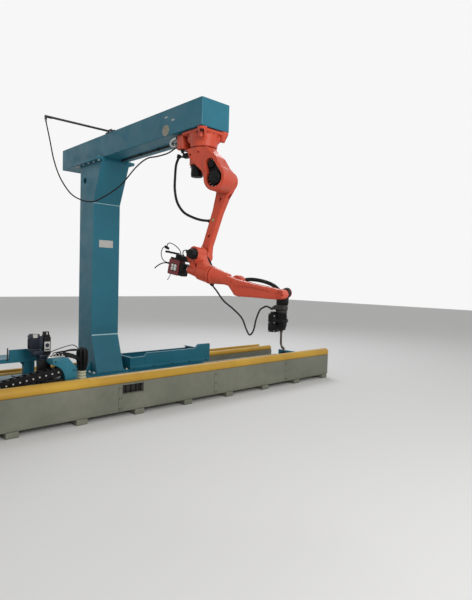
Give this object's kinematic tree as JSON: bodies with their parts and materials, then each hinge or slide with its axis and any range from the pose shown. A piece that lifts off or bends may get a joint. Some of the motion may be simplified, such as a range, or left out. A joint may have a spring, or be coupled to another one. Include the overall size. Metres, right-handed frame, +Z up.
{
  "type": "inverted six axis welding robot arm on a travelling gantry",
  "caption": "Welding robot arm hung under a cantilever beam; its column rides a carriage that travels along a section of floor track.",
  "frame": {"origin": "on the floor under the centre of the column, at the bottom face of the track's middle tie", "axes": "+X along the track, -Y towards the side that the beam carries the arm over, +Z up"},
  "size_m": [6, 3.6829, 3.2974],
  "materials": {
    "teal_paint": "satin machine enamel, slightly dusty",
    "orange_paint": "satin enamel on smooth castings",
    "yellow_paint": "worn safety enamel",
    "cream_paint": "matt grey-cream enamel",
    "machined_steel": "ground steel with an oil film",
    "navy_paint": "dark blue enamel",
    "black_plastic": "matt black",
    "black_steel": "black painted steel",
    "black_hose": "ribbed or smooth black hose jacket",
    "maroon_paint": "powder coat",
    "pale_plastic": "pale moulded plastic",
    "copper_neck": "smoked torch neck"
  },
  "bodies": {
    "track": {"track_frame": "cream_paint", "front_guide_rail": "machined_steel", "rear_guide_rail": "machined_steel", "gear_rack": "machined_steel", "front_side_beam": "cream_paint", "front_guard_tube": "yellow_paint", "rear_side_beam": "cream_paint", "rear_guard_tube": "yellow_paint", "rear_edge_rail": "yellow_paint", "chain_tray": "cream_paint", "left_end_stop": "teal_paint", "right_end_stop": "teal_paint"},
    "carriage": {"carriage_deck": "teal_paint", "right_platform": "teal_paint", "left_platform": "teal_paint", "drive_gearbox": "navy_paint", "drive_motor": "navy_paint", "grease_pump": "navy_paint", "chain_bracket": "teal_paint", "cable_chain": "black_plastic", "hose_loom": "black_hose", "column": "teal_paint", "column_flange": "teal_paint", "beam": "teal_paint", "boom_rod": "black_steel", "boom_conduit": "black_hose", "robot_base": "orange_paint", "connector_box": "orange_paint"},
    "turret": {"shoulder_casting": "orange_paint", "first_axis_motor": "black_plastic", "second_axis_motor": "black_plastic", "base_hose": "black_hose"},
    "lower_arm": {"lower_arm": "orange_paint"},
    "elbow": {"elbow_casting": "orange_paint", "third_axis_motor": "black_plastic", "feeder_bracket": "black_plastic", "wire_feeder": "maroon_paint", "feeder_motor": "black_plastic"},
    "forearm": {"forearm": "orange_paint", "forearm_hose": "black_hose", "umbilical": "black_hose"},
    "wrist": {"wrist_housing": "orange_paint"},
    "tool": {"tool_flange": "machined_steel", "torch_body": "black_plastic", "seam_sensor": "black_plastic", "torch_neck": "copper_neck"}
  },
  "joints": [
    {"name": "travel", "type": "slide", "parent": "track", "child": "carriage", "axis": [1, 0, 0], "range_m": [-0.42, 1.9]},
    {"name": "axis_1", "type": "hinge", "parent": "carriage", "child": "turret", "pos_m": [0, -2.036, 2.967], "axis": [0, 0, 1], "range_deg": [-165, 165]},
    {"name": "axis_2", "type": "hinge", "parent": "turret", "child": "lower_arm", "pos_m": [0.05435, -2.23884, 2.497], "axis": [0.9659, 0.2588, 0], "range_deg": [-95, 42]},
    {"name": "axis_3", "type": "hinge", "parent": "lower_arm", "child": "elbow", "pos_m": [-0.01035, -1.99736, 1.777], "axis": [-0.9659, -0.2588, 0], "range_deg": [-80, 60]},
    {"name": "axis_4", "type": "hinge", "parent": "elbow", "child": "forearm", "pos_m": [0.00431, -2.05208, 1.61639], "axis": [0.2542, -0.9485, -0.1891], "range_deg": [-170, 170]},
    {"name": "axis_5", "type": "hinge", "parent": "forearm", "child": "wrist", "pos_m": [0.22923, -2.89151, 1.44904], "axis": [-0.9659, -0.2588, 0], "range_deg": [-15, 150], "deforming": ["umbilical"]},
    {"name": "axis_6", "type": "hinge", "parent": "wrist", "child": "tool", "pos_m": [0.22923, -2.89151, 1.44904], "axis": [0, 0, -1], "range_deg": [-200, 200]}
  ]
}
